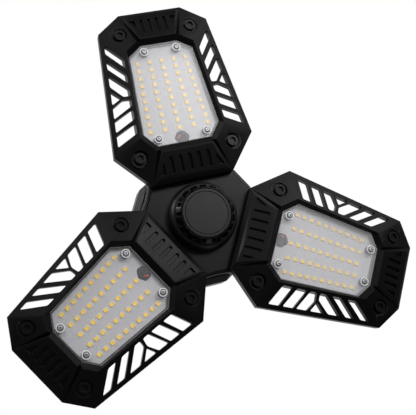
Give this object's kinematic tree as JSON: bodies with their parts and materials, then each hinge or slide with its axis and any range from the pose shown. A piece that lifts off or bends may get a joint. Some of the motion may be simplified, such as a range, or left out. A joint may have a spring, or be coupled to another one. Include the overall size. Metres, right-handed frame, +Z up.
{
  "type": "deformable garage light",
  "caption": "Black garage ceiling light: a screw-base hub with hinged, tapered LED leaves that open flat or fold back, each with a clear prismatic lens and latticed sides.",
  "frame": {"origin": "centre of the seat where the screw shell meets the collar", "axes": "+Z up into the socket; the light leaves towards -Z; leaf a points to +Y"},
  "size_m": [0.3584, 0.3218, 0.127],
  "materials": {
    "black_plastic": "satin moulded black",
    "shell_metal": "nickel-plated thin sheet, thread rolled in",
    "contact_metal": "soldered contact",
    "circuit_board": "green glass-epoxy board",
    "driver_parts": "sleeved capacitors, transformer and coils",
    "steel": "zinc-plated",
    "black_steel": "black oxide",
    "wire_red": "silicone insulation",
    "aluminium": "die cast, black anodised",
    "led_board": "white solder mask",
    "phosphor": "yellow phosphor in white packages",
    "rubber": "matte white silicone",
    "lens_plastic": "clear with a fine prismatic grid",
    "arm_metal": "black coated",
    "washer": "plain"
  },
  "bodies": {
    "hub": {"screw_shell": "shell_metal", "contact_insulator": "black_plastic", "contact_tip": "contact_metal", "base_collar": "black_plastic", "rear_housing": "black_plastic", "hub_cover": "black_plastic", "vent_crown": "black_plastic", "center_cap": "black_plastic", "driver_board": "circuit_board", "driver_parts": "driver_parts", "board_screws": "steel", "cover_screws": "steel", "hub_wires": "wire_red", "hinge_pins_a": "steel", "hinge_pins_b": "steel", "hinge_pins_c": "steel"},
    "leaf_a": {"bezel_a": "black_plastic", "heat_pan_a": "aluminium", "led_board_a": "led_board", "leds_a": "phosphor", "gasket_a": "rubber", "lens_a": "lens_plastic", "lens_screws_a": "steel", "bezel_bolts_a": "black_steel", "hinge_arm_a": "arm_metal", "arm_screws_a": "steel", "friction_washers_a": "washer", "leaf_wires_a": "wire_red"},
    "leaf_b": {"bezel_b": "black_plastic", "heat_pan_b": "aluminium", "led_board_b": "led_board", "leds_b": "phosphor", "gasket_b": "rubber", "lens_b": "lens_plastic", "lens_screws_b": "steel", "bezel_bolts_b": "black_steel", "hinge_arm_b": "arm_metal", "arm_screws_b": "steel", "friction_washers_b": "washer", "leaf_wires_b": "wire_red"},
    "leaf_c": {"bezel_c": "black_plastic", "heat_pan_c": "aluminium", "led_board_c": "led_board", "leds_c": "phosphor", "gasket_c": "rubber", "lens_c": "lens_plastic", "lens_screws_c": "steel", "bezel_bolts_c": "black_steel", "hinge_arm_c": "arm_metal", "arm_screws_c": "steel", "friction_washers_c": "washer", "leaf_wires_c": "wire_red"}
  },
  "joints": [
    {"name": "leaf_a_fold", "type": "hinge", "parent": "hub", "child": "leaf_a", "pos_m": [0, 0.053, -0.074], "axis": [1, 0, 0], "range_deg": [0, 90]},
    {"name": "leaf_b_fold", "type": "hinge", "parent": "hub", "child": "leaf_b", "pos_m": [-0.0459, -0.0265, -0.074], "axis": [-0.5, 0.866, 0], "range_deg": [0, 90]},
    {"name": "leaf_c_fold", "type": "hinge", "parent": "hub", "child": "leaf_c", "pos_m": [0.0459, -0.0265, -0.074], "axis": [-0.5, -0.866, 0], "range_deg": [0, 90]}
  ]
}
